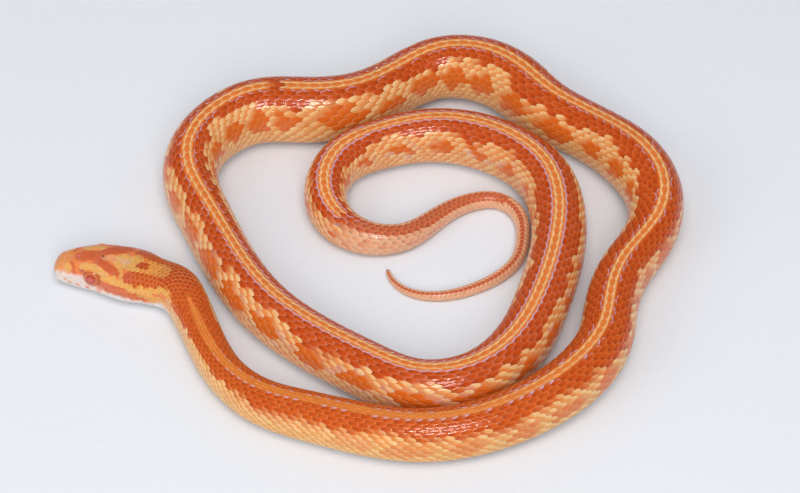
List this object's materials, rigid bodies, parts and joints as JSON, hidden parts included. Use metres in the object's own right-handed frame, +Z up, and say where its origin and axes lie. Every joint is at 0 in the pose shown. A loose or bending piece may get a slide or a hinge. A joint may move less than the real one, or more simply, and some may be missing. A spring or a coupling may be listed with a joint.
{
  "type": "corn snake",
  "caption": "Life-size still model of a young corn snake resting in loose bends, flat-bellied and scaled, its head and thin tail lying on the ground.",
  "frame": {"origin": "middle of the footprint, at the level of the ground that the belly rests on", "axes": "+Z up; +X along the longer side of the resting coil, the snout pointing towards -X; +Y away from the head's left side"},
  "size_m": [0.1252, 0.1164, 0.0126],
  "materials": {
    "head_scales": "smooth satin head shields, orange with yellow markings",
    "pale_scales": "smooth satin pale jaw and throat scales",
    "body_scales": "satin overlapping scales, red-orange with a pale stripe along the back",
    "tail_scales": "satin small overlapping scales, lighter orange",
    "eye": "clear glossy eye with a reddish iris and a pinkish-red pupil"
  },
  "bodies": {
    "root": {"head": "head_scales", "lower_jaw": "pale_scales", "eye_left": "eye", "eye_right": "eye", "neck": "body_scales", "trunk_1": "body_scales", "trunk_2": "body_scales", "trunk_3": "body_scales", "trunk_4": "body_scales", "trunk_5": "body_scales", "trunk_6": "body_scales", "trunk_7": "body_scales", "trunk_8": "body_scales", "tail_1": "tail_scales", "tail_2": "tail_scales", "tail_3": "tail_scales"}
  },
  "joints": []
}
